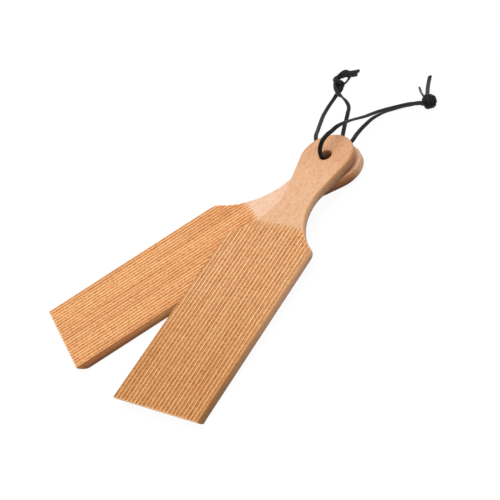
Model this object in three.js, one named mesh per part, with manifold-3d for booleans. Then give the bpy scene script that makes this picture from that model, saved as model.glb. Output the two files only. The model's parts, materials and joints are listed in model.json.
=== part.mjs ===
// A pair of ribbed butter paddles lying crossed on a table, each with a leather hanging thong.
// Millimetres, +Z up. The origin is at table level, under the middle of the two paddles' box.
import * as THREE from 'three';
import { mergeVertices } from 'three/addons/utils/BufferGeometryUtils.js';
import Module from 'manifold-3d';

// Paddle outline. Distances along the paddle are measured from the blade's tip, across its narrowest
// neck, to the middle of the thong hole.
const BLADE_WIDTH = 60;
const THICKNESS = 6;
const TIP_TO_NECK = 155;
const NECK_TO_HOLE = 32.7;
const NECK_WIDTH = 20.8;
const KNOB_RADIUS = 16.9;
const SHOULDER_RADIUS = 38;
const NECK_RADIUS = 20;
const SHOULDER_ROUND = 4;
const EDGE_ROUND = 1.3;
const TIP_ROUND = 5.5;
const HOLE_DIAMETER = 8;
const HOLE_FLARE = 0.5;

// Flutes that roll the butter: straight, round-bottomed, one along the middle and as many to each side as
// it takes to reach the blade's edges, climbing out of the wood before the neck.
const GROOVE_PITCH = 2.63;
const GROOVE_DEPTH = 0.9;
const CREST_WIDTH = 0.45;
const GROOVE_END_TO_NECK = 21.2;
const RUN_OUT = 5;

// Leather lace and its overhand knots.
const LACE_WIDTH = 2.6;
const LACE_THICKNESS = 1.5;
const LACE_CORNER = 0.45;
const TWIST_SPAN = [0.4, 0.62];
const BACK_KNOT_RADIUS = 3.1;
const FRONT_KNOT_RADIUS = 4.3;
const KNOT_TURN_LEANS = [25, 70].map(THREE.MathUtils.degToRad);

// How the two paddles lie: the front one is turned about the handles and rests on the back one.
const CLEARANCE = 0.3;
const FRONT_YAW = THREE.MathUtils.degToRad(32.55);
const FRONT_HOLE_OFFSET = new THREE.Vector2(-1.7, 0.9);

// Facets.
const ARC_STEPS = 12;
const SHOULDER_STEPS = 4;
const NECK_STEPS = 3;
const TIP_STEPS = 6;
const BEVEL_STEPS = 2;
const HOLE_SIDES = 24;
const FLUTE_SIDES = 12;
const RUN_OUT_STEPS = 4;
const KNOT_SIDES = 16;
const KNOT_RINGS = 10;
const TURN_SIDES = 8;
const TURN_STEPS = 20;
const MERGE_TOLERANCE = 1e-4;

const HOLE_TO_TIP = TIP_TO_NECK + NECK_TO_HOLE;

// Routes of the laces, in the bench frame: on the table below the back paddle's hole, X along that paddle.
// The back lace runs from its knot, under the back handle, up its hole and out between the handles.
const BACK_LOOP = [
  [33.3, 69.0, 4.3], [32.6, 64.8, 3.4], [32.6, 60.4, 2.2], [32.6, 56.0, 1.4], [31.6, 51.6, 1.0],
  [28.6, 46.8, 0.9], [25.0, 41.6, 0.9], [21.4, 36.6, 0.9], [17.4, 30.4, 0.9], [13.2, 23.4, 0.9],
  [9.0, 16.0, 0.9], [5.4, 9.6, 0.95], [2.6, 4.8, 0.95], [1.1, 2.0, 1.45], [0.1, 0.8, 3.2],
  [-1.1, 0.2, 5.4], [-2.0, 0.2, 7.3], [-2.3, 1.2, 8.8], [-2.4, 3.3, 9.35], [-2.0, 8.0, 9.4],
  [-0.8, 17.0, 9.5], [0.5, 24.0, 9.3], [1.4, 29.3, 8.8], [3.2, 34.4, 7.9], [6.8, 41.1, 6.0],
  [10.6, 47.9, 4.2], [16.5, 57.3, 2.0], [22.4, 63.4, 1.1], [27.6, 67.2, 1.0], [31.9, 70.2, 2.3],
];
const BACK_KNOT = [34.8, 72.2, 2.95];
const BACK_TAIL_LONG = [
  [35.0, 75.7, 3.6], [35.6, 80.2, 3.0], [38.4, 84.9, 1.9], [42.2, 87.2, 1.2],
  [45.8, 87.2, 0.95], [49.2, 83.8, 0.95], [52.4, 78.9, 0.95],
];
const BACK_TAIL_SHORT = [
  [38.1, 73.4, 2.9], [41.8, 75.8, 1.5], [45.0, 78.2, 0.95], [47.9, 78.2, 0.95], [50.2, 76.4, 0.95],
];
// The front lace runs from its knot, over the front handle, down its hole and out between the handles.
const FRONT_LOOP = [
  [65.0, 9.6, 5.5], [58.9, 14.1, 5.4], [50.7, 17.6, 6.7], [41.2, 17.6, 9.5], [31.0, 14.2, 14.0],
  [22.7, 11.4, 18.8], [17.0, 9.5, 22.0], [13.1, 8.2, 24.0], [8.5, 5.7, 25.6], [4.6, 4.4, 26.0],
  [1.1, 3.7, 25.0], [-1.7, 2.5, 23.0], [-3.4, 2.1, 20.5], [-4.4, 1.2, 17.6], [-4.2, 0.9, 15.6],
  [-3.0, 1.0, 13.6], [-1.2, 1.2, 12.0], [0.1, 1.3, 10.8], [1.3, 1.6, 9.7], [3.4, 2.2, 9.45],
  [8.0, 3.9, 9.55], [13.0, 6.1, 9.5], [17.0, 8.2, 9.2], [22.4, 14.0, 7.4], [29.5, 19.4, 4.8],
  [37.9, 23.9, 2.6], [44.9, 24.8, 1.5], [51.3, 23.6, 1.1], [57.2, 21.1, 1.1], [62.4, 16.4, 1.9],
  [66.2, 11.6, 2.7],
];
const FRONT_KNOT = [68.9, 7.1, 4.05];
const FRONT_TAIL_LONG = [
  [70.9, 11.2, 3.5], [73.0, 17.5, 2.2], [76.0, 23.4, 1.2], [79.0, 28.9, 0.95], [82.2, 33.9, 0.95],
];
const FRONT_TAIL_SHORT = [
  [68.9, 11.9, 5.7], [69.0, 15.5, 3.9], [69.8, 21.0, 1.8], [71.5, 28.4, 0.95],
];

const wasm = await Module();
wasm.setup();

const beech = new THREE.MeshStandardMaterial({ color: '#d3a06a', roughness: 0.62, metalness: 0 });
const leather = new THREE.MeshStandardMaterial({ color: '#242322', roughness: 0.5, metalness: 0 });

function toSolid(geometry) {
  const bare = geometry.index ? geometry.toNonIndexed() : geometry.clone();
  bare.deleteAttribute('normal');
  bare.deleteAttribute('uv');
  const merged = mergeVertices(bare, MERGE_TOLERANCE);
  return new wasm.Manifold(new wasm.Mesh({
    numProp: 3,
    vertProperties: new Float32Array(merged.attributes.position.array),
    triVerts: new Uint32Array(merged.index.array),
  }));
}

function toGeometry(solid) {
  const mesh = solid.getMesh();
  const geometry = new THREE.BufferGeometry();
  geometry.setAttribute('position', new THREE.BufferAttribute(mesh.vertProperties, 3));
  geometry.setIndex(new THREE.BufferAttribute(mesh.triVerts, 1));
  geometry.computeVertexNormals();
  return geometry;
}

// One side of the outline, from the blade's tip to the knob's end: straight side, rounded shoulder,
// wide hollow to the neck, tighter hollow out of it, straight flare that touches the knob, and the knob.
function halfOutline() {
  const half = BLADE_WIDTH / 2;
  const hollow = (radius, turn) => new THREE.Vector2(Math.sin(turn), -Math.cos(turn))
    .multiplyScalar(radius)
    .add(new THREE.Vector2(TIP_TO_NECK, NECK_WIDTH / 2 + radius));
  const cornerTurn = Math.acos((NECK_WIDTH / 2 + SHOULDER_RADIUS - half) / SHOULDER_RADIUS);
  const corner = hollow(SHOULDER_RADIUS, -cornerTurn);
  const arcStart = cornerTurn - SHOULDER_ROUND / SHOULDER_RADIUS;
  const round = new THREE.QuadraticBezierCurve(
    new THREE.Vector2(corner.x - SHOULDER_ROUND, half),
    corner,
    hollow(SHOULDER_RADIUS, -arcStart),
  );
  const toKnob = new THREE.Vector2(NECK_TO_HOLE, -NECK_WIDTH / 2 - NECK_RADIUS);
  const flare = toKnob.angle() - 2 * Math.PI + Math.asin((NECK_RADIUS + KNOB_RADIUS) / toKnob.length());
  const points = [new THREE.Vector2(0, half), ...round.getPoints(SHOULDER_STEPS)];
  for (let i = 1; i <= ARC_STEPS; i += 1) {
    points.push(hollow(SHOULDER_RADIUS, THREE.MathUtils.lerp(-arcStart, 0, i / ARC_STEPS)));
  }
  for (let i = 1; i <= NECK_STEPS; i += 1) {
    points.push(hollow(NECK_RADIUS, flare * i / NECK_STEPS));
  }
  for (let i = 0; i <= ARC_STEPS; i += 1) {
    const turn = THREE.MathUtils.lerp(Math.PI / 2 + flare, 0, i / ARC_STEPS);
    const x = HOLE_TO_TIP + KNOB_RADIUS * Math.cos(turn);
    points.push(new THREE.Vector2(x, KNOB_RADIUS * Math.sin(turn)));
  }
  return points;
}

function paddleBlank() {
  const upper = halfOutline();
  const lower = upper.slice(0, -1).map((p) => new THREE.Vector2(p.x, -p.y));
  const outline = new THREE.Shape([...lower, ...upper.reverse()]);
  const blank = new THREE.ExtrudeGeometry(outline, {
    depth: THICKNESS - 2 * EDGE_ROUND,
    bevelThickness: EDGE_ROUND,
    bevelSize: EDGE_ROUND,
    bevelOffset: -EDGE_ROUND,
    bevelSegments: BEVEL_STEPS,
  });
  return toSolid(blank.translate(0, 0, EDGE_ROUND));
}

// All flutes of one blade: a straight bar for each, and a bar that climbs out of the wood at its end.
function fluteCutters() {
  const chord = GROOVE_PITCH - CREST_WIDTH;
  const radius = (chord * chord / 4 + GROOVE_DEPTH * GROOVE_DEPTH) / (2 * GROOVE_DEPTH);
  const axis = THICKNESS - GROOVE_DEPTH + radius;
  const start = TIP_TO_NECK - GROOVE_END_TO_NECK - RUN_OUT;
  const perSide = Math.ceil(BLADE_WIDTH / 2 / GROOVE_PITCH - 0.5);
  const section = new THREE.Shape(Array.from({ length: FLUTE_SIDES }, (_, i) => {
    const turn = (i + 0.5) * 2 * Math.PI / FLUTE_SIDES;
    return new THREE.Vector2(radius * Math.cos(turn), radius * Math.sin(turn));
  }));
  const bar = (path, steps) => toSolid(new THREE.ExtrudeGeometry(section, { extrudePath: path, steps }));
  const straight = new THREE.LineCurve3(
    new THREE.Vector3(-EDGE_ROUND, 0, axis),
    new THREE.Vector3(start + RUN_OUT / ARC_STEPS, 0, axis),
  );
  const climb = new THREE.QuadraticBezierCurve3(
    new THREE.Vector3(start, 0, axis),
    new THREE.Vector3(start + RUN_OUT / 2, 0, axis),
    new THREE.Vector3(start + RUN_OUT, 0, axis + GROOVE_DEPTH),
  );
  const flute = bar(straight, 1).add(bar(climb, RUN_OUT_STEPS));
  let cutters = null;
  for (let i = -perSide; i <= perSide; i += 1) {
    const one = flute.translate([0, i * GROOVE_PITCH, 0]);
    cutters = cutters ? cutters.add(one) : one;
  }
  return cutters;
}

// The thong hole, slightly flared at both mouths.
function holeCutter() {
  const radius = HOLE_DIAMETER / 2;
  const mouth = radius + HOLE_FLARE + CLEARANCE;
  const profile = [
    new THREE.Vector2(0, -CLEARANCE),
    new THREE.Vector2(mouth, -CLEARANCE),
    new THREE.Vector2(radius, HOLE_FLARE),
    new THREE.Vector2(radius, THICKNESS - HOLE_FLARE),
    new THREE.Vector2(mouth, THICKNESS + CLEARANCE),
    new THREE.Vector2(0, THICKNESS + CLEARANCE),
  ];
  const bore = new THREE.LatheGeometry(profile, HOLE_SIDES);
  return toSolid(bore.rotateX(Math.PI / 2).translate(HOLE_TO_TIP, 0, 0));
}

// What is taken off under the tip, so that its lower edge is a quarter round.
function tipCutter() {
  const over = 2 * EDGE_ROUND;
  const corner = new THREE.Shape();
  corner.moveTo(-over, -over);
  corner.lineTo(TIP_ROUND, -over);
  corner.lineTo(TIP_ROUND, 0);
  corner.absarc(TIP_ROUND, TIP_ROUND, TIP_ROUND, -Math.PI / 2, -Math.PI, true);
  corner.lineTo(-over, TIP_ROUND);
  const length = BLADE_WIDTH + 2 * over;
  const bar = new THREE.ExtrudeGeometry(corner, {
    depth: length,
    bevelEnabled: false,
    curveSegments: TIP_STEPS,
  });
  return toSolid(bar.rotateX(Math.PI / 2).translate(0, length / 2, 0));
}

function paddleGeometry() {
  const solid = paddleBlank()
    .subtract(fluteCutters())
    .subtract(holeCutter())
    .subtract(tipCutter());
  return toGeometry(solid);
}

// A lace takes one step from each of its route's points to the next. It lies flat at both ends, and
// what twist it has is taken up halfway, in the hole.
class LaceRoute extends THREE.CatmullRomCurve3 {
  getUtoTmapping(u) {
    return u;
  }

  computeFrenetFrames(steps) {
    const tangents = Array.from({ length: steps + 1 }, (_, i) => this.getTangentAt(i / steps));
    const fromStart = carriedNormals(tangents);
    const fromEnd = carriedNormals(tangents.toReversed()).toReversed();
    const normals = tangents.map((tangent, i) => {
      const side = Math.sign(fromStart[i].dot(fromEnd[i]));
      const share = THREE.MathUtils.smoothstep(i / steps, ...TWIST_SPAN);
      return squareTo(tangent, fromStart[i].clone().lerp(fromEnd[i].clone().multiplyScalar(side), share));
    });
    const binormals = tangents.map((tangent, i) => tangent.clone().cross(normals[i]));
    return { tangents, normals, binormals };
  }
}

function squareTo(tangent, vector) {
  return vector.clone().addScaledVector(tangent, -vector.dot(tangent)).normalize();
}

// The lace's thin direction, upright at the first tangent and carried along without twist.
function carriedNormals(tangents) {
  let normal = new THREE.Vector3(0, 0, 1);
  return tangents.map((tangent) => {
    normal = squareTo(tangent, normal);
    return normal;
  });
}

function laceGeometry(route) {
  const thick = LACE_THICKNESS / 2;
  const wide = LACE_WIDTH / 2;
  const corners = [[1, 1], [-1, 1], [-1, -1], [1, -1]];
  const section = new THREE.Shape(corners.flatMap(([x, y]) => {
    const flat = new THREE.Vector2(x * thick, y * (wide - LACE_CORNER));
    const edge = new THREE.Vector2(x * (thick - LACE_CORNER), y * wide);
    return x * y > 0 ? [flat, edge] : [edge, flat];
  }));
  const path = new LaceRoute(route.map((point) => new THREE.Vector3(...point)));
  const tube = new THREE.ExtrudeGeometry(section, { extrudePath: path, steps: route.length - 1 });
  return toGeometry(toSolid(tube));
}

// A tight overhand knot: a core with two turns of lace pulled round it.
function knotGeometry(radius) {
  const wrap = LACE_WIDTH / 2;
  const [lyingLean, standingLean] = KNOT_TURN_LEANS;
  const core = toSolid(new THREE.SphereGeometry(radius - LACE_CORNER, KNOT_SIDES, KNOT_RINGS));
  const turn = new THREE.TorusGeometry(radius - wrap, wrap, TURN_SIDES, TURN_STEPS);
  const lying = toSolid(turn.clone().rotateX(lyingLean));
  const standing = toSolid(turn.clone().rotateY(standingLean));
  return toGeometry(core.add(lying).add(standing));
}

function mesh(name, geometry, material) {
  const piece = new THREE.Mesh(geometry, material);
  piece.name = name;
  return piece;
}

// The lace under the back handle holds that handle up, so the back paddle slopes to its tip.
const handleLift = LACE_THICKNESS + 2 * CLEARANCE;
const backSlope = Math.atan2(handleLift, HOLE_TO_TIP - TIP_ROUND);
const backTop = (x) => handleLift + THICKNESS / Math.cos(backSlope) + x * Math.tan(backSlope);

// The front paddle lies on three places: its right tip corner on the table, its left edge on the back
// blade's right edge, and its knob on the laces over the back knob.
function frontPose() {
  const side = BLADE_WIDTH / 2 - EDGE_ROUND;
  const along = new THREE.Vector2(Math.cos(FRONT_YAW), Math.sin(FRONT_YAW));
  const across = new THREE.Vector2(-along.y, along.x);
  const plan = (x, y) => FRONT_HOLE_OFFSET.clone()
    .addScaledVector(along, x - HOLE_TO_TIP)
    .addScaledVector(across, y);
  const edgeX = HOLE_TO_TIP - (side + FRONT_HOLE_OFFSET.y + across.y * side) / along.y;
  const edgePlan = plan(edgeX, side);
  const knobGap = LACE_THICKNESS + 3 * CLEARANCE;
  const tip = new THREE.Vector3(...plan(TIP_ROUND, -side), 0);
  const edge = new THREE.Vector3(...edgePlan, backTop(edgePlan.x) + CLEARANCE);
  const knob = new THREE.Vector3(...FRONT_HOLE_OFFSET, backTop(FRONT_HOLE_OFFSET.x) + knobGap);
  const normal = knob.clone().sub(tip).cross(edge.clone().sub(tip)).normalize();
  const xAxis = new THREE.Vector3(along.x, along.y, 0);
  xAxis.addScaledVector(normal, -xAxis.dot(normal)).normalize();
  const yAxis = normal.clone().cross(xAxis);
  const pose = new THREE.Matrix4().makeBasis(xAxis, yAxis, normal);
  return pose.setPosition(knob.addScaledVector(xAxis, -HOLE_TO_TIP));
}

const paddle = paddleGeometry();
const backPaddle = mesh('back_paddle', paddle, beech);
backPaddle.rotation.y = -backSlope;
backPaddle.position.set(
  -HOLE_TO_TIP * Math.cos(backSlope),
  0,
  handleLift - HOLE_TO_TIP * Math.sin(backSlope),
);
const frontPaddle = mesh('front_paddle', paddle, beech);
frontPaddle.applyMatrix4(frontPose());

function thong(side, loop, knot, knotRadius, longTail, shortTail) {
  const group = new THREE.Group();
  const knotMesh = mesh(`${side}_thong_knot`, knotGeometry(knotRadius), leather);
  knotMesh.position.set(...knot);
  group.add(
    mesh(`${side}_thong_loop`, laceGeometry(loop), leather),
    knotMesh,
    mesh(`${side}_thong_long_tail`, laceGeometry(longTail), leather),
    mesh(`${side}_thong_short_tail`, laceGeometry(shortTail), leather),
  );
  return group;
}

const bench = new THREE.Group();
bench.add(
  backPaddle,
  frontPaddle,
  thong('back', BACK_LOOP, BACK_KNOT, BACK_KNOT_RADIUS, BACK_TAIL_LONG, BACK_TAIL_SHORT),
  thong('front', FRONT_LOOP, FRONT_KNOT, FRONT_KNOT_RADIUS, FRONT_TAIL_LONG, FRONT_TAIL_SHORT),
);

// The bench is moved so that the origin is below the middle of the paddles.
bench.updateMatrixWorld(true);
const box = new THREE.Box3().setFromObject(backPaddle, true);
box.union(new THREE.Box3().setFromObject(frontPaddle, true));
bench.position.set(-(box.min.x + box.max.x) / 2, -(box.min.y + box.max.y) / 2, -box.min.z);

const pair = new THREE.Group();
pair.add(bench);
pair.updateMatrixWorld(true);

export default pair;
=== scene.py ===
import json
import math

import bmesh
import bpy
import numpy as np
from mathutils import Matrix, Vector
from mathutils.geometry import delaunay_2d_cdt
from mathutils.kdtree import KDTree


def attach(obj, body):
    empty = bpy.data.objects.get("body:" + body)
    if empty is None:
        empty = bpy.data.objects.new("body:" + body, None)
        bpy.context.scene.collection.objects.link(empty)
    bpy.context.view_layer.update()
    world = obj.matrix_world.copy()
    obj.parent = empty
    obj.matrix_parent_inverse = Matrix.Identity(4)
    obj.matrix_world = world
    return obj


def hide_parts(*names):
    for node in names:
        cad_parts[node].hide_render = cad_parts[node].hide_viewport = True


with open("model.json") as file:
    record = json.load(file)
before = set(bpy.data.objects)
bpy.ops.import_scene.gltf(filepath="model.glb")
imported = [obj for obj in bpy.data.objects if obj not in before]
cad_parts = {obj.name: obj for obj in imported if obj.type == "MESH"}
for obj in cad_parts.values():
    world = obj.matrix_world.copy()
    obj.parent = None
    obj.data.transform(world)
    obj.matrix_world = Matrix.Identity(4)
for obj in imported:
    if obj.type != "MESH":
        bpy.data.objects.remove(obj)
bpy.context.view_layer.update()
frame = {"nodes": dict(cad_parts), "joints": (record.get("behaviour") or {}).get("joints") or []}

# Sizes are in millimetres, and are turned to metres where a mesh takes its place.
MM = 0.001

# The beech board: distances along it are measured from the blade's tip.
BLADE_WIDTH = 60.6
THICKNESS = 6.0
TIP_TO_NECK = 155.0
NECK_TO_HOLE = 32.7
HOLE_TO_TIP = TIP_TO_NECK + NECK_TO_HOLE
NECK_WIDTH = 20.8
KNOB_RADIUS = 16.9
SHOULDER_RADII = {"back": 44.0, "front": 38.0}
SHOULDER_ROUNDS = {"back": 2.5, "front": 4.0}
NECK_RADIUS = 20.0
TIP_CORNER = 0.5
TIP_ROUND = 5.1
TIP_REACHES = {"back": 8.5, "front": 4.6}
HOLE_RADIUS = 3.8
HOLE_FLARE = 0.4
BLADE_EDGE = 0.3
SHOULDER_EDGE = 1.0
HANDLE_EDGE = 1.2
BACK_EDGE = 1.3
# Stretches along the board over which the round of its edges changes.
TIP_CRISP = (0, 6)
SHOULDER_WEAR = (108, 122)
HANDLE_WEAR = (124, 142)
# How fast the walls' tone and the painted shade on them give way over the upper edge, and the stretch over
# which that changes.
BLADE_FADE = 4
HANDLE_FADE = 1
FADE_CHANGE = (118, 140)
# How far the front paddle is turned from the back one.
FRONT_YAW = math.radians(32.55)

# Flutes of the blade. Their depth wanders a little, in waves of this length and width.
FLUTE_PITCH = 2.64
FLUTE_DEPTH = 0.8
CREST_WIDTH = 0.62
CREST_SOFTNESS = 0.2
FLUTES_PER_SIDE = 11
DEPTH_WANDER = 0.12
WANDER_LENGTH = 40
WANDER_WIDTH = 3.1
RUN_OUT = 5.0
FLUTE_END_TO_NECK = 21.2
RUN_OUT_START = TIP_TO_NECK - FLUTE_END_TO_NECK - RUN_OUT

# The leather lace.
LACE_WIDTH = 2.6
LACE_THICKNESS = 1.25

# Routes of the laces' halves, each from its hole to its knot. They are measured from the table below the back
# paddle's hole, with X along that paddle.
BACK_OUTER_ROUTE = [
    (-1.1, 0.2, 5.4), (0.1, 0.8, 3.2), (1.1, 2.0, 1.45), (2.6, 4.8, 0.95), (5.4, 9.6, 0.95),
    (9.0, 16.0, 0.9), (13.2, 23.4, 0.9), (17.4, 30.4, 0.9), (21.4, 36.6, 0.9), (25.0, 41.6, 0.9),
    (28.6, 46.8, 0.9), (31.6, 51.6, 1.0), (32.6, 56.0, 1.4), (32.6, 60.4, 2.2),
]
BACK_INNER_ROUTE = [
    (-1.1, 0.2, 5.4), (-2.0, 0.2, 7.3), (-2.3, 1.2, 8.8), (-2.4, 3.3, 9.35), (-2.0, 8.0, 9.4),
    (-0.8, 17.0, 9.5), (0.5, 24.0, 9.3), (1.4, 29.3, 8.8), (3.2, 34.4, 7.9), (6.8, 41.1, 6.0),
    (10.6, 47.9, 4.2), (16.5, 57.3, 2.0), (22.4, 63.4, 1.1), (27.6, 67.2, 1.0),
]
FRONT_OUTER_ROUTE = [
    (-3.0, 1.0, 13.6), (-3.95, 0.8, 15.6), (-4.25, 1.05, 17.6), (-3.2, 1.8, 20.5), (-1.5, 1.8, 23.0),
    (1.4, 2.6, 25.0), (4.7, 3.1, 26.0), (8.5, 4.9, 25.3), (13.1, 8.0, 23.9), (17.0, 9.5, 22.6),
    (22.7, 11.4, 19.9), (31.0, 14.2, 15.1), (41.2, 17.6, 10.2), (50.7, 17.6, 6.7), (58.9, 14.1, 5.4),
]
FRONT_INNER_ROUTE = [
    (-3.0, 1.0, 13.6), (-1.2, 1.2, 12.0), (0.1, 1.3, 10.8), (1.3, 1.6, 9.7), (3.4, 2.2, 9.45),
    (8.0, 3.9, 9.55), (13.0, 6.1, 9.5), (17.0, 8.2, 9.2), (22.4, 14.0, 7.4), (30.0, 20.6, 5.0),
    (38.6, 25.4, 2.9), (45.4, 25.9, 1.6), (51.5, 24.0, 1.1), (57.2, 21.1, 1.1), (60.0, 18.8, 1.3),
    (62.8, 16.0, 2.0), (64.6, 12.2, 3.0),
]
FRONT_KNOT = (68.4, 6.9, 4.65)
FRONT_TAIL_LONG = [
    (70.8, 14.3, 4.2), (73.6, 20.4, 2.8), (76.7, 26.4, 1.6), (78.6, 29.6, 1.1), (81.2, 33.3, 0.95),
]
FRONT_TAIL_SHORT = [
    (68.2, 14.1, 4.6), (69.0, 18.1, 3.4), (69.5, 21.4, 2.6), (70.2, 24.2, 1.9), (71.2, 27.5, 1.5),
]

# How far each half leans about its own length, in degrees, at some of its points counted from the hole.
BACK_OUTER_LEANS = [(10, 0), (12, -55), (13, -88)]
FRONT_OUTER_LEANS = [(1, 0), (3, 16), (5, 20), (6, 20), (8, 4), (10, -18), (12, -4), (15, 0)]
FRONT_INNER_LEANS = [(6, 0), (8, 15), (10, 0), (11, -20), (13, 0), (16, 25)]
NO_LEAN = [(0, 0)]
STANDING = [(0, 85)]
TILTED = [(0, -12)]

# The back lace's loose knot: places that each strand goes through, and the way that its flat side faces.
BACK_KNOT_OUTER = [
    ((32.0, 65.2, 3.5), (0.3, -0.4, 0.9)), ((32.4, 69.2, 3.7), (0.0, -0.7, 0.7)),
    ((33.2, 73.1, 3.6), (0.0, -0.8, 0.6)), ((34.5, 76.8, 3.0), (-0.2, -0.7, 0.7)),
    ((36.0, 80.5, 1.9), (-0.4, -0.3, 0.85)), ((37.3, 79.0, 1.0), (-0.1, 0.0, 1.0)),
    ((34.7, 74.1, 1.0), (0.0, -0.2, 1.0)), ((36.4, 73.3, 1.6), (0.0, -0.5, 0.85)),
    ((38.6, 73.9, 3.2), (0.6, -0.7, 0.4)),
    ((37.9, 74.7, 4.4), (0.1, -0.8, 0.6)), ((36.8, 77.2, 4.6), (-0.1, -0.8, 0.6)),
    ((36.2, 80.6, 4.0), (-0.4, -0.6, 0.7)), ((37.6, 82.8, 3.2), (-0.3, -0.5, 0.8)),
]
BACK_KNOT_INNER = [
    ((32.3, 70.2, 1.2), (0.0, -0.4, 0.9)), ((34.4, 70.9, 1.5), (0.0, -0.7, 0.7)),
    ((36.1, 71.7, 2.0), (0.0, -0.8, 0.6)), ((37.2, 73.5, 2.2), (0.1, -0.8, 0.6)),
    ((38.5, 74.6, 2.0), (0.0, -0.2, 1.0)), ((40.2, 75.1, 1.6), (-0.3, 0.6, 0.75)),
    ((42.5, 76.0, 1.6), (-0.3, 0.6, 0.75)), ((44.8, 77.2, 2.4), (0.0, 0.3, 0.95)),
    ((45.5, 79.1, 3.6), (0.2, -0.3, 0.9)), ((43.8, 80.3, 4.2), (0.0, -0.6, 0.8)),
    ((41.6, 81.1, 4.0), (-0.2, -0.6, 0.75)), ((39.8, 82.0, 2.8), (-0.6, -0.3, 0.7)),
    ((40.8, 83.3, 1.3), (-0.3, 0.0, 1.0)),
]
BACK_END_OUTER = [
    (39.2, 83.2, 2.9), (41.2, 83.9, 2.8), (43.4, 84.7, 2.7), (44.8, 84.9, 2.5), (45.8, 84.8, 2.2),
    (46.5, 83.7, 1.6), (47.9, 82.4, 1.2), (50.1, 80.9, 1.0), (52.5, 79.2, 0.95),
]
BACK_END_INNER = [(43.3, 83.3, 0.95), (45.7, 81.0, 0.95), (47.8, 78.6, 0.95), (49.8, 76.9, 0.95)]

# The front lace's knot, pulled tight into a ball: each strand runs through it and is wound back over it.
BALL_AXIS = (0.92, -0.38, 0.0)
BALL_RADIUS = 4.0
BALL_LAYERS = (0.15, -0.15)
BALL_TURNS = 1.6
BALL_ENTRIES = (-4.6, -3.0)
BALL_LATITUDE = math.radians(52)
BALL_TOP = math.radians(78)
BALL_BOTTOM = math.radians(-66)
BALL_STEPS = 14
BALL_START = 0.35
BALL_LAST_TURN = 0.6
BALL_LAST_REACH = 0.6
BALL_CORE_GAP = 0.1
BALL_CORE_END = 2.4

# The camera, from the photograph's perspective. Its place is measured as the laces' routes are.
CAMERA_PLACE = (-109.96, -781.84, 575.13)
CAMERA_AZIMUTH = math.radians(-93.1)
CAMERA_ELEVATION = math.radians(36.88)
CAMERA_ROLL = math.radians(30.42)
CAMERA_LENS = 119.7
CAMERA_SENSOR = 36.0


def linear(code):
    """An sRGB hex colour as linear RGBA."""
    parts = [int(code[i:i + 2], 16) / 255 for i in (1, 3, 5)]
    return [c / 12.92 if c <= 0.04045 else ((c + 0.055) / 1.055) ** 2.4 for c in parts] + [1.0]


def add(tree, kind, inputs=None, out=0, **settings):
    """Adds a node with its settings, sets or links its inputs, and gives back one of its outputs."""
    made = tree.nodes.new(kind)
    for name, value in settings.items():
        setattr(made, name, value)
    for key, value in (inputs or {}).items():
        if isinstance(value, bpy.types.NodeSocket):
            tree.links.new(value, made.inputs[key])
        else:
            made.inputs[key].default_value = value
    return made.outputs[out] if made.outputs else made


def joint_place(name):
    return Vector(next(j["pos_m"] for j in frame["joints"] if j["name"] == name))


def underside_normal(node):
    """The direction that a paddle's flat back faces: the one that most of its downward area shares."""
    shares = {}
    for face in frame["nodes"][node].data.polygons:
        key = tuple(round(c, 3) for c in face.normal)
        shares[key] = shares.get(key, Vector()) + face.normal * face.area
    return max((s for s in shares.values() if s.z < 0), key=lambda s: s.length).normalized()


def paddle_pose(node, joint, yaw):
    """Where a board in millimetres, tip at its origin and back at height 0, lies in the frame."""
    up = -underside_normal(node)
    along = Vector((math.cos(yaw), math.sin(yaw), 0))
    along = (along - up * along.dot(up)).normalized()
    across = up.cross(along)
    tip = joint_place(joint) - (along * HOLE_TO_TIP + up * THICKNESS / 2) * MM
    turn = Matrix((along, across, up)).transposed().to_4x4()
    return Matrix.Translation(tip) @ turn @ Matrix.Scale(MM, 4)


BACK_POSE = paddle_pose("back_paddle", "back_thong_swivel", 0.0)
FRONT_POSE = paddle_pose("front_paddle", "front_thong_swivel", FRONT_YAW)
# The place on the table below the back paddle's hole.
BENCH = BACK_POSE @ Vector((HOLE_TO_TIP, 0, 0))
BENCH.z = 0.0


# Camera

def make_camera():
    back = Vector((
        math.cos(CAMERA_AZIMUTH) * math.cos(CAMERA_ELEVATION),
        math.sin(CAMERA_AZIMUTH) * math.cos(CAMERA_ELEVATION),
        math.sin(CAMERA_ELEVATION),
    ))
    level = Vector((-math.sin(CAMERA_AZIMUTH), math.cos(CAMERA_AZIMUTH), 0))
    upright = back.cross(level)
    right = level * math.cos(CAMERA_ROLL) - upright * math.sin(CAMERA_ROLL)
    up = back.cross(right)
    camera = bpy.data.objects.new("camera", bpy.data.cameras.new("camera"))
    camera.data.lens = CAMERA_LENS
    camera.data.sensor_width = CAMERA_SENSOR
    place = Matrix.Translation(BENCH + Vector(CAMERA_PLACE) * MM)
    camera.matrix_world = place @ Matrix((right, up, back)).transposed().to_4x4()
    bpy.context.scene.collection.objects.link(camera)
    bpy.context.scene.camera = camera


make_camera()


# Materials

def material(name):
    made = bpy.data.materials.new(name)
    made.use_nodes = True
    made.node_tree.nodes.clear()
    return made, made.node_tree


# Patterns drawn out along the grain: length and width of a feature in millimetres, detail and roughness.
# Rays, fibres and the ticks torn up in the flutes are finer on the real wood. They are drawn wide enough to
# show.
GRAINS = {
    "streak": (120.0, 3.2, 3.0, 0.5),
    "fibre": (7.0, 0.5, 2.0, 0.6),
    "fleck": (1.7, 0.45, 1.0, 0.5),
    "tick": (1.3, 0.8, 1.0, 0.5),
}


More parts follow.
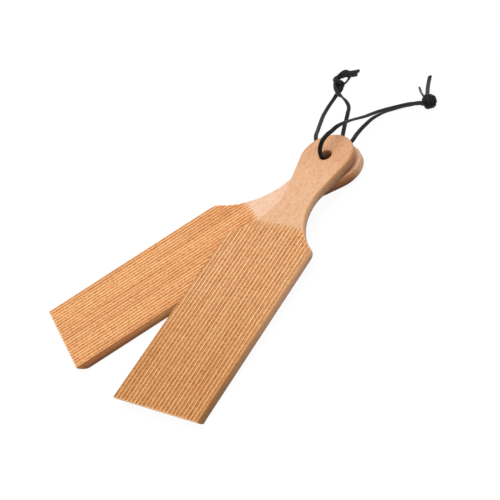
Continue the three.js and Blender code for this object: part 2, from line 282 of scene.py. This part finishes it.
def beech(name, colours, streaks, seed):
    """Sanded, lightly oiled beech: pinkish tan, long soft streaks and short dark flecks along the grain.
    The flutes' crests are rubbed pale, and oil has deepened the sides of the board. Painted shade deepens the
    flutes' torn bottoms, the foot of the walls and the handle's walls, and a painted highlight lightens the
    tip's edge."""
    made, tree = material(name)
    board = add(tree, "ShaderNodeAttribute", out="Vector", attribute_name="board")
    parts = {
        label: add(tree, "ShaderNodeAttribute", out="Fac", attribute_name=label)
        for label in ("valley", "wall")
    }
    parts["along"], _, parts["height"] = add(tree, "ShaderNodeSeparateXYZ", {0: board}).node.outputs
    for grain, (length, width, detail, rough) in GRAINS.items():
        place = add(tree, "ShaderNodeMapping", {
            "Vector": board,
            "Location": (seed, 2 * seed, 3 * seed),
            "Scale": (1 / length, 1 / width, 1 / width),
        })
        parts[grain] = add(tree, "ShaderNodeTexNoise", {
            "Vector": place, "Scale": 1.0, "Detail": detail, "Roughness": rough, "Distortion": 0.3,
        })
    # Each line names a share, the value that it follows, and where it is none, full and how strong.
    spans = (
        # Painted shade: the flutes' bottoms take a deeper, more saturated orange for the shade in the
        # grooves.
        ("deep", "valley", 0.0, 0.14, 1.0),
        ("blade", "along", 134.0, 128.0, 1.0),
        ("top", "height", 5.2, 5.75, 1.0),
        ("streaked", "streak", 0.42, 0.66, streaks),
        ("fibred", "fibre", 0.35, 0.7, 0.5),
        ("flecked", "fleck", 0.55, 0.7, 0.55),
        ("ticked", "tick", 0.42, 0.64, 0.65),
        ("oiled", "along", 110.0, 10.0, 1.0),
        # The handle darkens towards the knob.
        ("toward_knob", "along", 168.0, 192.0, 0.4),
        ("low", "height", 5.2, 0.6, 1.0),
        # Painted shade on the handle's walls, deepest under the other paddle's handle, starts here.
        ("handle_part", "along", 150.0, 168.0, 1.0),
        # The walls' tones, and the painted shade with them, give way near the knob's end.
        ("free", "along", 201.0, 188.0, 1.0),
        # Painted highlight: the tip's edge takes the crests' pale colour.
        ("end", "along", 1.0, 0.2, 0.5),
        ("near", "along", 80.0, 5.0, 1.0),
    )
    for label, value, none, full, most in spans:
        parts[label] = add(tree, "ShaderNodeMapRange", {
            "Value": parts[value], "From Min": none, "From Max": full, "To Max": most,
        }, interpolation_type="SMOOTHSTEP")
    products = (
        ("wall", "wall", "free"),
        ("ridge", "blade", "top"),
        ("foot_shade", "wall", "low"),
        ("streaked", "streaked", "blade"),
        ("ticked", "ticked", "deep"),
        ("handle_wall_shade", "handle_part", "wall"),
        ("near", "near", "wall"),
    )
    for label, one, two in products:
        parts[label] = add(tree, "ShaderNodeMath", {0: parts[one], 1: parts[two]}, operation="MULTIPLY")
    layers = (
        ("ridge", colours["crest"], "MIX"),
        # Painted shade in the flutes' bottoms.
        ("deep", colours["flute"], "MIX"),
        ("wall", colours["wall"], "MIX"),
        ("streaked", "#dcae84", "MULTIPLY"),
        ("fibred", "#f8c9a2", "MULTIPLY"),
        ("flecked", "#c79a76", "MULTIPLY"),
        ("ticked", "#c6aa84", "MULTIPLY"),
        ("oiled", colours["tip"], "MULTIPLY"),
        ("toward_knob", "#e8c8ac", "MULTIPLY"),
        # Painted shade: the walls darken and cool towards the table.
        ("foot_shade", colours["foot_shade"], "MULTIPLY"),
        # Painted shade: the handle's walls darken, most under the other paddle's handle.
        ("handle_wall_shade", colours["handle_wall_shade"], "MULTIPLY"),
        ("near", colours["near"], "MULTIPLY"),
        # Painted highlight along the tip's edge.
        ("end", colours["crest"], "MIX"),
    )
    tone = linear(colours["plain"])
    for share, colour, blend in layers:
        tone = add(tree, "ShaderNodeMix", {
            0: parts[share], 6: tone, 7: linear(colour),
        }, 2, data_type="RGBA", blend_type=blend)
    rough = add(tree, "ShaderNodeMapRange", {"Value": parts["fibre"], "To Min": 0.5, "To Max": 0.72})
    relief = add(tree, "ShaderNodeBump", {"Height": parts["fibre"], "Strength": 0.25, "Distance": 0.00008})
    shader = add(tree, "ShaderNodeBsdfPrincipled", {
        "Base Color": tone, "Roughness": rough, "Normal": relief, "IOR": 1.5, "Specular IOR Level": 0.3,
    })
    add(tree, "ShaderNodeOutputMaterial", {"Surface": shader})
    return made


PEBBLE_SIZE = 0.5
CLOUD_SIZE = 2.5


def lace_leather():
    """Dyed, waxed leather lace: near black, with a faint sheen on its pebbled grain and greyer cut edges,
    lightened further as a painted highlight along its rims.
    """
    made, tree = material("lace_leather")
    strap = add(tree, "ShaderNodeAttribute", out="Vector", attribute_name="strap")
    across = add(tree, "ShaderNodeSeparateXYZ", {0: strap}, 1)
    pebble = add(tree, "ShaderNodeTexVoronoi", {"Vector": strap, "Scale": 1 / PEBBLE_SIZE}, "Distance")
    cloud = add(tree, "ShaderNodeTexNoise", {"Vector": strap, "Scale": 1 / CLOUD_SIZE, "Detail": 2})
    cloud = add(tree, "ShaderNodeMapRange", {"Value": cloud, "From Min": 0.35, "From Max": 0.65})
    tone = add(tree, "ShaderNodeMix", {
        0: cloud, 6: linear("#020203"), 7: linear("#1e1e1f"),
    }, 2, data_type="RGBA")
    # Partly real, partly painted highlight: the cut edges are greyer and also lightened for light catching
    # the lace's rims.
    edge = add(tree, "ShaderNodeMapRange", {
        "Value": add(tree, "ShaderNodeMath", {0: across}, operation="ABSOLUTE"),
        "From Min": LACE_WIDTH * 0.44, "From Max": LACE_WIDTH * 0.5, "To Max": 0.9,
    }, interpolation_type="SMOOTHSTEP")
    tone = add(tree, "ShaderNodeMix", {0: edge, 6: tone, 7: linear("#403e3b")}, 2, data_type="RGBA")
    rough = add(tree, "ShaderNodeMapRange", {"Value": cloud, "To Min": 0.25, "To Max": 0.45})
    relief = add(tree, "ShaderNodeBump", {"Height": pebble, "Strength": 0.4, "Distance": 0.0001})
    shader = add(tree, "ShaderNodeBsdfPrincipled", {
        "Base Color": tone, "Roughness": rough, "Normal": relief, "IOR": 1.2,
    })
    add(tree, "ShaderNodeOutputMaterial", {"Surface": shader})
    return made


LEATHER = lace_leather()


# Laces

def smooth_stations(stations, step):
    """Places and flat sides along one smooth curve through the stations, about one step apart."""
    points = np.array([s[0] for s in stations], float) + np.array(BENCH) / MM
    faces = np.array([s[1] for s in stations], float)
    for i in range(1, len(faces)):
        if faces[i] @ faces[i - 1] < 0:
            faces[i] *= -1
    chords = np.linalg.norm(np.diff(points, axis=0), axis=1)
    slopes = np.diff(points, axis=0) / chords[:, None]
    tangents = np.vstack([slopes[:1], slopes, slopes[-1:]])
    before = np.concatenate([chords[:1], chords])[:, None]
    after = np.concatenate([chords, chords[-1:]])[:, None]
    tangents = (tangents[:-1] * after + tangents[1:] * before) / (before + after)
    out = []
    for i, chord in enumerate(chords):
        count = max(2, int(round(chord / step)))
        for t in np.linspace(0, 1, count, endpoint=i == len(chords) - 1):
            stay = 2 * t ** 3 - 3 * t ** 2 + 1
            leave = t ** 3 - 2 * t ** 2 + t
            arrive = t ** 3 - t ** 2
            place = (
                stay * points[i] + (1 - stay) * points[i + 1]
                + chord * (leave * tangents[i] + arrive * tangents[i + 1])
            )
            ease = t * t * (3 - 2 * t)
            out.append((place, faces[i] * (1 - ease) + faces[i + 1] * ease))
    return out


LACE_STEP = 0.5
SECTION_SIDES = 20
SECTION_SQUARENESS = 0.5
CUT_ANGLE = math.radians(60)


def lace_piece(name, stations):
    """A flat lace swept along its stations, with rounded edges and cut ends."""
    rings = smooth_stations(stations, LACE_STEP)
    places = np.array([r[0] for r in rings])
    tangents = np.gradient(places, axis=0)
    tangents /= np.linalg.norm(tangents, axis=1)[:, None]
    travel = np.concatenate([[0], np.cumsum(np.linalg.norm(np.diff(places, axis=0), axis=1))])
    built = bmesh.new()
    strap = built.verts.layers.float_vector.new("strap")
    turns = [2 * math.pi * (i + 0.5) / SECTION_SIDES for i in range(SECTION_SIDES)]
    section = [
        (
            math.copysign(abs(math.cos(t)) ** SECTION_SQUARENESS, math.cos(t)),
            math.copysign(abs(math.sin(t)) ** SECTION_SQUARENESS, math.sin(t)),
        )
        for t in turns
    ]
    loops = []
    for (place, face), tangent, along in zip(rings, tangents, travel):
        face = face - tangent * face.dot(tangent)
        face /= np.linalg.norm(face)
        side = np.cross(tangent, face)
        loop = []
        for across, through in section:
            a = across * LACE_WIDTH / 2
            b = through * LACE_THICKNESS / 2
            vert = built.verts.new(Vector(place + side * a + face * b) * MM)
            vert[strap] = (along, a, b)
            loop.append(vert)
        loops.append(loop)
    for one, two in zip(loops, loops[1:]):
        for i in range(SECTION_SIDES):
            j = (i + 1) % SECTION_SIDES
            built.faces.new((one[i], one[j], two[j], two[i]))
    built.faces.new(loops[0][::-1])
    built.faces.new(loops[-1])
    bmesh.ops.recalc_face_normals(built, faces=built.faces)
    mesh = bpy.data.meshes.new(name)
    built.to_mesh(mesh)
    built.free()
    mesh.materials.append(LEATHER)
    mesh.shade_smooth()
    mesh.set_sharp_from_angle(angle=CUT_ANGLE)
    piece = bpy.data.objects.new(name, mesh)
    bpy.context.scene.collection.objects.link(piece)
    return piece, [Vector(p) * MM for p in places], travel[-1] * MM


def carried_faces(points, face):
    """The lace's flat side at each point, carried along from the first one without twist."""
    points = [Vector(p) for p in points]
    faces = []
    for i in range(len(points)):
        tangent = (points[min(i + 1, len(points) - 1)] - points[max(i - 1, 0)]).normalized()
        face = (face - tangent * face.dot(tangent)).normalized()
        faces.append(face.copy())
    return faces


def loop_stations(points, leans):
    """Places and flat sides along a lace: up at the last point, carried back without twist, then leaned."""
    points = [Vector(p) for p in points]
    faces = carried_faces(points[::-1], Vector((0, 0, 1)))[::-1]
    counts, turns = zip(*leans)
    stations = []
    for i, (point, face) in enumerate(zip(points, faces)):
        tangent = points[min(i + 1, len(points) - 1)] - points[max(i - 1, 0)]
        lean = math.radians(float(np.interp(i, counts, turns)))
        stations.append((point, Matrix.Rotation(lean, 3, tangent) @ face))
    return stations


def ball_knot(centre, strand):
    """One strand through a knot pulled tight: in along its core, then wound back over it into a ball."""
    centre, axis = Vector(centre), Vector(BALL_AXIS).normalized()
    up = (Vector((0, 0, 1)) - axis * axis.z).normalized()
    side = axis.cross(up)
    core = LACE_THICKNESS / 2 + BALL_CORE_GAP
    reach = BALL_RADIUS + BALL_LAYERS[strand]
    begin = math.pi * strand

    def at(latitude, turn, reach):
        out = up * math.cos(turn) + side * math.sin(turn)
        away = axis * math.sin(latitude) + out * math.cos(latitude)
        return centre + away * reach, away

    out = at(0, begin, 1)[1]
    stations = [(centre + axis * u + out * core, out) for u in (BALL_ENTRIES[strand], 0, BALL_CORE_END)]
    stations.append(at(BALL_TOP, begin, reach))
    for i in range(BALL_STEPS + 1):
        share = i / BALL_STEPS
        turn = begin + BALL_START + 2 * math.pi * BALL_TURNS * share
        stations.append(at(BALL_LATITUDE * (1 - 2 * share), turn, reach))
    stations.append(at(BALL_BOTTOM, turn + BALL_LAST_TURN, reach * BALL_LAST_REACH))
    return stations


def make_thong(side, halves):
    """Both halves of one lace, from the middle of its hole to its two cut ends."""
    nodes = [f"{side}_thong_{part}" for part in ("loop", "knot", "long_tail", "short_tail")]
    for half, stations in halves.items():
        piece, path, length = lace_piece(f"{side}_thong_{half}_half", stations)
        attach(piece, f"{side}_thong")
        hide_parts(*nodes)


make_thong("back", {
    "outer": (
        loop_stations(BACK_OUTER_ROUTE, BACK_OUTER_LEANS)
        + BACK_KNOT_OUTER + loop_stations(BACK_END_OUTER, NO_LEAN)
    ),
    "inner": (
        loop_stations(BACK_INNER_ROUTE, NO_LEAN)
        + BACK_KNOT_INNER + loop_stations(BACK_END_INNER, NO_LEAN)
    ),
})
make_thong("front", {
    "outer": (
        loop_stations(FRONT_OUTER_ROUTE, FRONT_OUTER_LEANS)
        + ball_knot(FRONT_KNOT, 0) + loop_stations(FRONT_TAIL_SHORT, STANDING)
    ),
    "inner": (
        loop_stations(FRONT_INNER_ROUTE, FRONT_INNER_LEANS)
        + ball_knot(FRONT_KNOT, 1) + loop_stations(FRONT_TAIL_LONG, TILTED)
    ),
})


# Paddles

def smoothstep(low, high, x):
    t = np.clip((np.asarray(x, float) - low) / (high - low), 0, 1)
    return t * t * (3 - 2 * t)


def arc(centre, radius, start, end, step):
    count = max(2, int(math.ceil(abs(end - start) * radius / step)))
    turns = np.linspace(start, end, count + 1)
    return np.column_stack([centre[0] + radius * np.cos(turns), centre[1] + radius * np.sin(turns)])


def straight(start, end, step):
    start, end = np.array(start, float), np.array(end, float)
    count = max(1, int(math.ceil(np.linalg.norm(end - start) / step)))
    return start + (end - start) * np.linspace(0, 1, count + 1)[:, None]


# Places across one flute where the blade's mesh has a line, as shares of half the pitch.
FLUTE_LINES = (0, 0.28, 0.52, 0.7, 0.81, 0.89, 0.95)


def flute_columns():
    """Lines of the mesh along the blade, across all flutes and crests."""
    columns = set()
    for i in range(-FLUTES_PER_SIDE, FLUTES_PER_SIDE + 1):
        columns.add(round((i + 0.5) * FLUTE_PITCH, 4))
        for share in FLUTE_LINES:
            for sign in (-1, 1):
                columns.add(round((i + sign * share / 2) * FLUTE_PITCH, 4))
    return np.array(sorted(c for c in columns if abs(c) < BLADE_WIDTH / 2))


# Steps of the board's mesh in millimetres, and how far from the tip its curved underside is meshed finely.
TIP_STRETCH = 10.0
TIP_STEP = 0.4
BLADE_STEP = 1.5
CURVE_STEP = 0.4
HANDLE_STEP = 0.8
KNOB_STEP = 0.6
CORNER_STEP = 0.2
SHOULDER_POINTS = 13
EDGE_RINGS = 7
MOUTH_RINGS = 6
HOLE_SIDES = 64
WELD = 1e-4
# The fill's kind, which is triangles over all inside the outer loop, and its tolerance.
FILL_KIND = 2
FILL_TOLERANCE = 1e-6
# Rows and columns of points inside the faces. The fluted face's columns follow its flutes, and its rows are
# closer where the flutes run out.
FLUTED_ROWS = np.concatenate([np.arange(1.0, 126, 1.6), np.arange(126.2, 139, 0.36)])
HANDLE_ROWS = np.arange(140, 204, 1.1)
HANDLE_COLUMNS = np.arange(-18, 18.1, 1.1)
BACK_ROWS = np.concatenate([np.arange(1.0, TIP_STRETCH, 0.5), np.arange(12, 204, 6)])
BACK_COLUMNS = np.arange(-27, 27.1, 3)
# How far inside an edge's round, or outside the hole's flare, the first of them lie.
FACE_CLEAR = 0.2
BACK_CLEAR = 0.4
HOLE_CLEAR = 0.4


def half_outline(columns, sweep, rounding):
    """One side of the board seen from above, from the middle of the tip to the knob's end."""
    half, neck = BLADE_WIDTH / 2, NECK_WIDTH / 2
    wide_middle = np.array([TIP_TO_NECK, neck + sweep])
    tight_middle = np.array([TIP_TO_NECK, neck + NECK_RADIUS])
    corner_turn = math.acos((wide_middle[1] - half) / sweep)
    corner = np.array([TIP_TO_NECK - sweep * math.sin(corner_turn), half])
    start = corner_turn - rounding / sweep
    wide = arc(wide_middle, sweep, -math.pi / 2 - start, -math.pi / 2, CURVE_STEP)
    to_knob = np.array([HOLE_TO_TIP, 0]) - tight_middle
    flare = math.atan2(to_knob[1], to_knob[0])
    flare += math.asin((NECK_RADIUS + KNOB_RADIUS) / np.linalg.norm(to_knob))
    tight = arc(tight_middle, NECK_RADIUS, -math.pi / 2, -math.pi / 2 + flare, CURVE_STEP)
    ease = np.linspace(0, 1, SHOULDER_POINTS)[:, None]
    leave = corner - (rounding, 0)
    shoulder = leave * (1 - ease) ** 2 + 2 * ease * (1 - ease) * corner + wide[0] * ease ** 2
    knob = arc((HOLE_TO_TIP, 0), KNOB_RADIUS, math.pi / 2 + flare, 0, KNOB_STEP)
    tip = columns[(columns >= 0) & (columns < half - TIP_CORNER)]
    return np.vstack([
        np.column_stack([np.zeros(len(tip)), tip]),
        arc((TIP_CORNER, half - TIP_CORNER), TIP_CORNER, math.pi, math.pi / 2, CORNER_STEP),
        straight((TIP_CORNER, half), (TIP_STRETCH, half), TIP_STEP)[1:-1],
        straight((TIP_STRETCH, half), leave, BLADE_STEP)[:-1],
        shoulder,
        wide[1:],
        tight[1:],
        straight(tight[-1], knob[0], HANDLE_STEP)[1:-1],
        knob,
    ])


def upper_edge(x):
    """Radius of the round on the board's upper edge: crisp along the blade, worn at the shoulders."""
    worn = BLADE_EDGE + (SHOULDER_EDGE - BLADE_EDGE) * smoothstep(*SHOULDER_WEAR, x)
    return worn + (HANDLE_EDGE - SHOULDER_EDGE) * smoothstep(*HANDLE_WEAR, x)


def lower_edge(x):
    """Radius of the round on the board's lower edge, which is crisp at the tip."""
    return BLADE_EDGE + (BACK_EDGE - BLADE_EDGE) * smoothstep(*TIP_CRISP, x)


def tip_underside(x, reach):
    """Height of the underside, which curves up to the tip over its last stretch."""
    share = np.clip(1 - np.asarray(x, float) / reach, 0, 1)
    return TIP_ROUND * share ** 2


def fill(loops, inner):
    """Triangles over all inside the outer loop, with edges along every loop and more points between."""
    points = [Vector(p) for loop in loops for p in loop] + [Vector(p) for p in inner]
    edges, first = [], 0
    for loop in loops:
        edges += [(first + i, first + (i + 1) % len(loop)) for i in range(len(loop))]
        first += len(loop)
    verts, _, faces, *_ = delaunay_2d_cdt(points, edges, [], FILL_KIND, FILL_TOLERANCE)
    return verts, faces


def board_mesh(reach, sweep, rounding):
    """The paddle before its flutes are cut: rounded board, curved tip and thong hole, in millimetres."""
    columns = flute_columns()
    upper = half_outline(columns, sweep, rounding)
    lower = upper[1:-1] * (1, -1)
    outline = np.vstack([upper[::-1], lower])
    ahead = np.roll(outline, -1, axis=0) - np.roll(outline, 1, axis=0)
    inward = np.column_stack([-ahead[:, 1], ahead[:, 0]]) / np.linalg.norm(ahead, axis=1)[:, None]
    top_round = upper_edge(outline[:, 0])
    back_round = lower_edge(outline[:, 0])
    rings = []
    for turn in np.linspace(0, math.pi / 2, EDGE_RINGS):
        flat = outline + inward * (back_round * (1 - math.sin(turn)))[:, None]
        height = np.maximum(back_round * (1 - math.cos(turn)), tip_underside(flat[:, 0], reach))
        rings.append((flat, height, [math.sin(turn)] * len(flat)))
    fade = BLADE_FADE + (HANDLE_FADE - BLADE_FADE) * smoothstep(*FADE_CHANGE, outline[:, 0])
    for turn in np.linspace(0, math.pi / 2, EDGE_RINGS):
        flat = outline + inward * (top_round * (1 - math.cos(turn)))[:, None]
        rings.append((flat, THICKNESS - top_round * (1 - math.sin(turn)), math.cos(turn) ** fade))
    mouth = []
    for turn in np.linspace(0, math.pi / 2, MOUTH_RINGS):
        mouth.append((HOLE_RADIUS + HOLE_FLARE * (1 - math.sin(turn)), HOLE_FLARE * (1 - math.cos(turn))))
    hole_rings = [(r, THICKNESS - z) for r, z in mouth] + [(r, z) for r, z in mouth[::-1]]
    circle = arc((0, 0), 1, 0, 2 * math.pi, 2 * math.pi / HOLE_SIDES)[:-1]
    middle = np.array([HOLE_TO_TIP, 0])

    built = bmesh.new()
    wall = built.verts.layers.float.new("wall")

    def ring_verts(flat, heights, shares):
        made = []
        for p, z, share in zip(flat, heights, shares):
            made.append(built.verts.new((p[0], p[1], z)))
            made[-1][wall] = share
        return made

    def skin(loops):
        for one, two in zip(loops, loops[1:]):
            for i in range(len(one)):
                j = (i + 1) % len(one)
                built.faces.new((one[i], one[j], two[j], two[i]))

    def cap(loop, hole, inner, height):
        """One face of the board, open where the hole is."""
        verts, faces = fill([loop, hole], inner)
        made = [built.verts.new((v.x, v.y, float(height(v.x)))) for v in verts]
        for face in faces:
            centre = sum((verts[i] for i in face), Vector((0, 0))) / len(face)
            if (centre - Vector(middle)).length > HOLE_RADIUS + HOLE_FLARE:
                built.faces.new([made[i] for i in face])

    skin([ring_verts(*ring) for ring in rings])
    ones = np.ones(len(circle))
    bores = [(middle + circle * r, ones * z, ones) for r, z in hole_rings]
    skin([ring_verts(*ring) for ring in bores])

    near = KDTree(len(outline))
    for i, p in enumerate(outline):
        near.insert((p[0], p[1], 0), i)
    near.balance()

    def inside(points, inset):
        kept = []
        for p in points:
            _, i, _ = near.find((p[0], p[1], 0))
            clear = (p - outline[i]) @ inward[i] > inset(p[0])
            if clear and np.linalg.norm(p - middle) > HOLE_RADIUS + HOLE_FLARE + HOLE_CLEAR:
                kept.append(p)
        return kept

    fluted = [np.array((x, y)) for x in FLUTED_ROWS for y in columns]
    smooth = [np.array((x, y)) for x in HANDLE_ROWS for y in HANDLE_COLUMNS]
    top_inner = inside(fluted + smooth, lambda x: float(upper_edge(x)) + FACE_CLEAR)
    cap(rings[-1][0], bores[0][0], top_inner, lambda x: THICKNESS)
    back = [np.array((x, y)) for x in BACK_ROWS for y in BACK_COLUMNS]
    back_inner = inside(back, lambda x: float(lower_edge(x)) + BACK_CLEAR)
    cap(rings[0][0], bores[-1][0], back_inner, lambda x: tip_underside(x, reach))

    bmesh.ops.remove_doubles(built, verts=built.verts, dist=WELD)
    bmesh.ops.recalc_face_normals(built, faces=built.faces)
    mesh = bpy.data.meshes.new("board")
    built.to_mesh(mesh)
    built.free()
    return mesh


FLUTE_SIZES = {
    "Board thickness": THICKNESS,
    "Flute pitch": FLUTE_PITCH,
    "Flute depth": FLUTE_DEPTH,
    "Cutter radius": ((FLUTE_PITCH - CREST_WIDTH) ** 2 / 4 + FLUTE_DEPTH ** 2) / (2 * FLUTE_DEPTH),
    "Run-out start": RUN_OUT_START,
    "Run-out length": RUN_OUT,
    "Crest softness": CREST_SOFTNESS,
    "Depth wander": DEPTH_WANDER,
    "Seed": 1.0,
}


def flute_tree():
    """Cuts round-bottomed flutes along a board, which climb out of the wood at the handle end."""
    tree = bpy.data.node_groups.new("cut_flutes", "GeometryNodeTree")
    tree.interface.new_socket("Geometry", in_out="INPUT", socket_type="NodeSocketGeometry")
    for label in FLUTE_SIZES:
        tree.interface.new_socket(label, in_out="INPUT", socket_type="NodeSocketFloat")
    tree.interface.new_socket("Wood", in_out="INPUT", socket_type="NodeSocketMaterial")
    tree.interface.new_socket("Geometry", in_out="OUTPUT", socket_type="NodeSocketGeometry")
    given = tree.nodes.new("NodeGroupInput").outputs

    here = add(tree, "GeometryNodeInputPosition")
    x, y, z = add(tree, "ShaderNodeSeparateXYZ", {0: here}).node.outputs
    values = {**{label: given[label] for label in FLUTE_SIZES}, "x": x, "y": y, "z": z}
    waves = add(tree, "ShaderNodeVectorMath", {
        0: here, 1: (1 / WANDER_LENGTH, 1 / WANDER_WIDTH, 0),
    }, operation="MULTIPLY")
    values["wobble"] = add(tree, "ShaderNodeTexNoise", {
        "Vector": waves, "W": given["Seed"], "Scale": 1.0,
    }, noise_dimensions="4D")
    # Each line names a value, what makes it, and what it is made from.
    steps = (
        ("half", "MULTIPLY", "Flute pitch", 0.5),
        ("low", "MULTIPLY", "Flute pitch", -0.5),
        ("offset", "WRAP", "y", "half", "low"),
        ("offset squared", "MULTIPLY", "offset", "offset"),
        ("radius squared", "MULTIPLY", "Cutter radius", "Cutter radius"),
        ("rise squared", "SUBTRACT", "radius squared", "offset squared"),
        ("rise squared", "MAXIMUM", "rise squared", 0.0),
        ("rise", "SQRT", "rise squared"),
        ("wall", "SUBTRACT", "Cutter radius", "rise"),
        ("past", "SUBTRACT", "x", "Run-out start"),
        ("share", "DIVIDE", "past", "Run-out length"),
        ("share", "MAXIMUM", "share", 0.0),
        ("share squared", "MULTIPLY", "share", "share"),
        ("climb", "MULTIPLY", "share squared", "Flute depth"),
        ("wobble", "SUBTRACT", "wobble", 0.5),
        ("wander", "MULTIPLY", "wobble", "Depth wander"),
        ("height", "SUBTRACT", "Board thickness", "Flute depth"),
        ("height", "ADD", "height", "wall"),
        ("height", "ADD", "height", "climb"),
        ("height", "ADD", "height", "wander"),
        ("carved", "SMOOTH_MIN", "z", "height", "Crest softness"),
        ("cut", "SUBTRACT", "z", "carved"),
        ("cut", "DIVIDE", "cut", "Flute depth"),
    )
    for label, operation, *terms in steps:
        inputs = {i: values.get(term, term) for i, term in enumerate(terms)}
        values[label] = add(tree, "ShaderNodeMath", inputs, operation=operation)
    named = add(tree, "GeometryNodeStoreNamedAttribute", {
        "Geometry": given["Geometry"], "Name": "valley", "Value": values["cut"],
    }, data_type="FLOAT", domain="POINT")
    moved = add(tree, "GeometryNodeSetPosition", {
        "Geometry": named,
        "Position": add(tree, "ShaderNodeCombineXYZ", {0: x, 1: y, 2: values["carved"]}),
    })
    placed = add(tree, "GeometryNodeStoreNamedAttribute", {
        "Geometry": moved, "Name": "board", "Value": add(tree, "GeometryNodeInputPosition"),
    }, data_type="FLOAT_VECTOR", domain="POINT")
    whole = add(tree, "GeometryNodeRealizeInstances", {"Geometry": placed})
    wooden = add(tree, "GeometryNodeSetMaterial", {"Geometry": whole, "Material": given["Wood"]})
    add(tree, "NodeGroupOutput", {"Geometry": wooden})
    return tree


FLUTES = flute_tree()
CREST_ANGLE = math.radians(50)


def make_paddle(name, pose, board, wood, seed):
    """One paddle: the board with its flutes cut, laid where the frame has it."""
    blank = bpy.data.objects.new(name + "_blank", board)
    bpy.context.scene.collection.objects.link(blank)
    cutter = blank.modifiers.new("flutes", "NODES")
    cutter.node_group = FLUTES
    sizes = {**FLUTE_SIZES, "Seed": seed, "Wood": wood}
    for item in FLUTES.interface.items_tree:
        if item.in_out == "INPUT" and item.name in sizes:
            cutter[item.identifier] = sizes[item.name]
    ready = blank.evaluated_get(bpy.context.evaluated_depsgraph_get())
    mesh = bpy.data.meshes.new_from_object(ready)
    bpy.data.objects.remove(blank)
    mesh.name = name
    mesh.transform(pose)
    mesh.shade_smooth()
    mesh.set_sharp_from_angle(angle=CREST_ANGLE)
    piece = bpy.data.objects.new(name, mesh)
    bpy.context.scene.collection.objects.link(piece)
    return piece


# Each wood's foot tone and handle-wall tone are painted shade on its walls.
WOODS = {
    "back": beech("beech_streaked", {
        "crest": "#ffdfae", "flute": "#ebb06e", "plain": "#ebccb1", "tip": "#ffffff",
        "wall": "#fcc07e", "foot_shade": "#a8a4b0", "handle_wall_shade": "#b9afb2", "near": "#d4c2b8",
    }, streaks=0.4, seed=3.1),
    "front": beech("beech_even", {
        "crest": "#ffdbac", "flute": "#dca971", "plain": "#e0b690", "tip": "#f2e9d5",
        "wall": "#f6c696", "foot_shade": "#c8d2f0", "handle_wall_shade": "#d6ccc0", "near": "#d0c5b3",
    }, streaks=0.35, seed=11.7),
}
for side, pose, seed in (("back", BACK_POSE, 1.0), ("front", FRONT_POSE, 2.0)):
    board = board_mesh(TIP_REACHES[side], SHOULDER_RADII[side], SHOULDER_ROUNDS[side])
    paddle = make_paddle(f"{side}_board", pose, board, WOODS[side], seed)
    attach(paddle, f"{side}_paddle")
    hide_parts(f"{side}_paddle")


# Table and light

# These lengths are in metres.
TABLE_REACH = 6.0
TABLE_LEVEL = -0.0002
TABLE_GLOW = 0.945
LAMP_PLACE = (0.15, 0.1, 1.25)
LAMP_SIZE = 1.6
LAMP_POWER = 11.0
ROOM_LIGHT = 0.65


def background_rays(tree):
    """1 for the camera's own rays and for those that a glossy or clear thing sends on, else 0."""
    rays = add(tree, "ShaderNodeLightPath").node.outputs
    share = rays["Is Camera Ray"]
    for kind in ("Is Glossy Ray", "Is Transmission Ray"):
        share = add(tree, "ShaderNodeMath", {0: share, 1: rays[kind]}, operation="MAXIMUM")
    return share


def make_table():
    """A plain white table: white to the eye, with a soft shadow."""
    made, tree = material("white_table")
    seen = background_rays(tree)
    matte = add(tree, "ShaderNodeBsdfDiffuse", {"Color": linear("#b0b0b0")})
    shade = add(tree, "ShaderNodeBsdfDiffuse", {"Color": linear("#484848")})
    glow = add(tree, "ShaderNodeEmission", {"Color": linear("#ffffff"), "Strength": TABLE_GLOW})
    lit = add(tree, "ShaderNodeAddShader", {0: shade, 1: glow})
    both = add(tree, "ShaderNodeMixShader", {0: seen, 1: matte, 2: lit})
    add(tree, "ShaderNodeOutputMaterial", {"Surface": both})
    mesh = bpy.data.meshes.new("table")
    corners = ((-1, -1), (1, -1), (1, 1), (-1, 1))
    verts = [(x * TABLE_REACH, y * TABLE_REACH, TABLE_LEVEL) for x, y in corners]
    mesh.from_pydata(verts, [], [(0, 1, 2, 3)])
    mesh.materials.append(made)
    table = bpy.data.objects.new("table", mesh)
    bpy.context.scene.collection.objects.link(table)


def make_light():
    """One large soft lamp overhead, and an even white room."""
    lamp = bpy.data.lights.new("soft_box", "AREA")
    lamp.shape = "DISK"
    lamp.size = LAMP_SIZE
    lamp.energy = LAMP_POWER
    holder = bpy.data.objects.new("soft_box", lamp)
    place = Vector(LAMP_PLACE)
    holder.matrix_world = Matrix.Translation(place) @ place.to_track_quat("Z", "Y").to_matrix().to_4x4()
    bpy.context.scene.collection.objects.link(holder)
    room = bpy.data.worlds.new("white_room")
    room.use_nodes = True
    tree = room.node_tree
    tree.nodes.clear()
    seen = background_rays(tree)
    white = add(tree, "ShaderNodeBackground", {"Color": linear("#ffffff"), "Strength": 1.0})
    soft = add(tree, "ShaderNodeBackground", {"Color": linear("#ffffff"), "Strength": ROOM_LIGHT})
    both = add(tree, "ShaderNodeMixShader", {0: seen, 1: soft, 2: white})
    add(tree, "ShaderNodeOutputWorld", {"Surface": both})
    bpy.context.scene.world = room


make_table()
make_light()
bpy.context.scene.view_settings.view_transform = "Standard"
